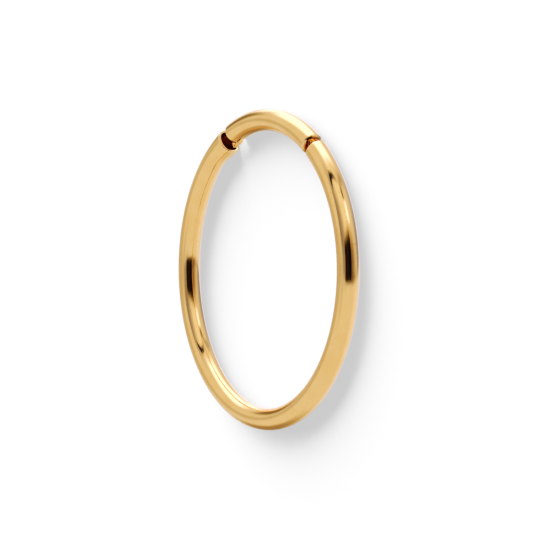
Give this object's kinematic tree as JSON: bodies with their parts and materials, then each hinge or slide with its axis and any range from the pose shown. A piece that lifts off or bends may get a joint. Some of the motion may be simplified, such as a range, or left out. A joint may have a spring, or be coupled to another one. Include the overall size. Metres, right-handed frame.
{
  "type": "nose ring",
  "caption": "Hinged segment nose ring of round polished gold wire: a near-closed hoop whose short gate turns on a cross pin and closes against a cup.",
  "frame": {"origin": "centre of the flat strip that the hoop rests on, on the hoop's axis, at the lowest face", "axes": "+Z is the hoop's axis, upwards as it lies on its side; +Y points from the hoop's middle to the middle of the gate; +X points to the hinge side"},
  "size_m": [0.0116, 0.0116, 0.0008],
  "materials": {
    "gold": "polished yellow gold"
  },
  "bodies": {
    "ring": {"main_ring": "gold", "hinge_pin": "gold"},
    "gate": {"gate": "gold"}
  },
  "joints": [
    {"name": "gate_hinge", "type": "hinge", "parent": "ring", "child": "gate", "pos_m": [0.00292, 0.00478, 0.0004], "axis": [0, 0, -1], "range_deg": [0, 80]}
  ]
}
